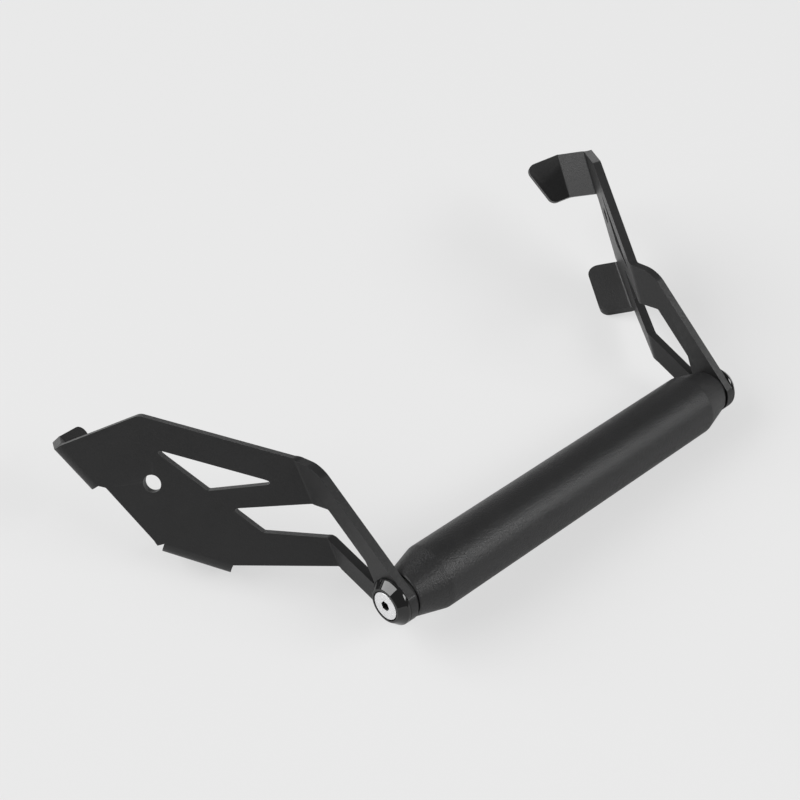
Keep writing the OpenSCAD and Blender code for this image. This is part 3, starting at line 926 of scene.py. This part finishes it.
def floor_piece():
    """A pale matt floor under the mount."""
    material, tree, shader = new_material("pale_floor")
    base = tuple(sizes("mount_finish").floor)
    grain = use_group(tree, grain_group(), -900, 0, Grain_Scale=300.0, Patch_Scale=3.0)
    dark, light = lighter(base, 1 - FLOOR_MOTTLE), lighter(base, 1 + FLOOR_MOTTLE)
    cloudy = mix_colours(tree, grain.outputs["Patches"], dark, light, -600, 200)
    link(tree, cloudy.outputs[2], shader.inputs["Base Color"])
    shader.inputs["Roughness"].default_value = 0.9
    shader.inputs["Specular IOR Level"].default_value = 0.0
    glow = node(tree, "ShaderNodeEmission", -100, -400)
    glow.inputs["Color"].default_value = (FLOOR_GLOW, FLOOR_GLOW, FLOOR_GLOW, 1)
    rays = node(tree, "ShaderNodeLightPath", -300, 500)
    share = node(tree, "ShaderNodeMath", 0, 500, operation="MULTIPLY")
    share.inputs[1].default_value = FLOOR_GLOW_SHARE
    both = node(tree, "ShaderNodeMixShader", 300, 300)
    link(tree, rays.outputs["Is Camera Ray"], share.inputs[0])
    link(tree, share.outputs[0], both.inputs[0])
    link(tree, shader.outputs[0], both.inputs[1])
    link(tree, glow.outputs[0], both.inputs[2])
    link(tree, both.outputs[0], tree.nodes["Material Output"].inputs["Surface"])
    place, up = resting_plane()
    bm = bmesh.new()
    bmesh.ops.create_grid(bm, x_segments=1, y_segments=1, size=FLOOR_SPAN)
    tilt = Vector((0, 0, 1)).rotation_difference(up).to_matrix().to_4x4()
    bmesh.ops.transform(bm, matrix=Matrix.Translation(place) @ tilt, verts=bm.verts[:])
    mesh = bpy.data.meshes.new("floor")
    bm.to_mesh(mesh)
    bm.free()
    mesh.materials.append(material)
    floor = bpy.data.objects.new("floor", mesh)
    bpy.context.scene.collection.objects.link(floor)


def lamp(name, place, size, power):
    """A soft box that faces the mount."""
    data = bpy.data.lights.new(name, "AREA")
    data.shape = "RECTANGLE"
    data.size, data.size_y = size
    data.energy = power
    made = bpy.data.objects.new(name, data)
    made.location = place
    aim = Vector(LAMP_AIM) - Vector(place)
    made.rotation_euler = aim.to_track_quat("-Z", "Y").to_euler()
    bpy.context.scene.collection.objects.link(made)


def sky():
    """An even soft sky, seen itself as pale as the floor."""
    world = bpy.data.worlds.new("sky")
    bpy.context.scene.world = world
    world.use_nodes = True
    tree = world.node_tree
    background = tree.nodes["Background"]
    background.inputs["Color"].default_value = (1, 1, 1, 1)
    rays = node(tree, "ShaderNodeLightPath", -600, 0)
    strength = spread(tree, rays.outputs["Is Camera Ray"], SKY_STRENGTH, BACKDROP_GLOW, -300, 0)
    link(tree, strength, background.inputs["Strength"])


def camera():
    """The camera, looking down over the bar's left end."""
    data = bpy.data.cameras.new("camera")
    data.lens = CAMERA_LENS
    data.clip_end = CAMERA_REACH
    made = bpy.data.objects.new("camera", data)
    made.location = CAMERA_PLACE
    made.rotation_euler = [math.radians(a) for a in CAMERA_TURN]
    bpy.context.scene.collection.objects.link(made)
    bpy.context.scene.camera = made


# ---- Operators, panel and registration ----


class MOUNT_OT_stage(bpy.types.Operator):
    """Set the floor, the lamps and the camera"""

    bl_idname = "mount.stage"
    bl_label = "Stage"

    def execute(self, context):
        context.scene.view_settings.view_transform = "Standard"
        sky()
        floor_piece()
        for name, values in LAMPS.items():
            lamp(name, **values)
        camera()
        return {"FINISHED"}


class MOUNT_OT_crossbar(bpy.types.Operator):
    """Turn the bar"""

    bl_idname = "mount.crossbar"
    bl_label = "Crossbar"

    def execute(self, context):
        crossbar_piece()
        return {"FINISHED"}


class MOUNT_OT_friction_washers(bpy.types.Operator):
    """Make the washers between the bar and the arms"""

    bl_idname = "mount.friction_washers"
    bl_label = "Friction washers"

    def execute(self, context):
        for word, side in SIDES.items():
            friction_washer_piece(word, side)
        return {"FINISHED"}


class MOUNT_OT_arms(bpy.types.Operator):
    """Cut and fold both arms"""

    bl_idname = "mount.arms"
    bl_label = "Arms"

    def execute(self, context):
        for word, side in SIDES.items():
            arm_piece(word, side)
        return {"FINISHED"}


class MOUNT_OT_cup_washers(bpy.types.Operator):
    """Turn the cup washers"""

    bl_idname = "mount.cup_washers"
    bl_label = "Cup washers"

    def execute(self, context):
        for word, side in SIDES.items():
            cup_washer_piece(word, side)
        return {"FINISHED"}


class MOUNT_OT_screws(bpy.types.Operator):
    """Make the countersunk screws"""

    bl_idname = "mount.screws"
    bl_label = "Screws"

    def execute(self, context):
        for word, side in SIDES.items():
            screw_piece(word, side)
        return {"FINISHED"}


STEPS = (
    MOUNT_OT_stage,
    MOUNT_OT_crossbar,
    MOUNT_OT_friction_washers,
    MOUNT_OT_arms,
    MOUNT_OT_cup_washers,
    MOUNT_OT_screws,
)


class MOUNT_PT_panel(bpy.types.Panel):
    """Lists the mount's pieces"""

    bl_idname = "MOUNT_PT_panel"
    bl_label = "Phone Mount"
    bl_space_type = "VIEW_3D"
    bl_region_type = "UI"
    bl_category = "Phone Mount"

    def draw(self, context):
        for step in STEPS:
            self.layout.operator(step.bl_idname)
        for name in PROPERTY_GROUPS:
            group = getattr(context.scene, name)
            box = self.layout.box()
            box.label(text=group.bl_rna.description)
            for key in group.bl_rna.properties.keys():
                if key not in ("rna_type", "name"):
                    box.prop(group, key)


CLASSES = (*PROPERTY_GROUPS.values(), *STEPS, MOUNT_PT_panel)


def register():
    for item in CLASSES:
        bpy.utils.register_class(item)
    for name, group in PROPERTY_GROUPS.items():
        setattr(bpy.types.Scene, name, bpy.props.PointerProperty(type=group))


def unregister():
    for name in PROPERTY_GROUPS:
        delattr(bpy.types.Scene, name)
    for item in reversed(CLASSES):
        bpy.utils.unregister_class(item)


def main():
    """Registers the add-on and makes every piece."""
    register()
    bpy.ops.mount.stage()
    bpy.ops.mount.crossbar()
    bpy.ops.mount.friction_washers()
    bpy.ops.mount.arms()
    bpy.ops.mount.cup_washers()
    bpy.ops.mount.screws()


if __name__ == "__main__":
    main()
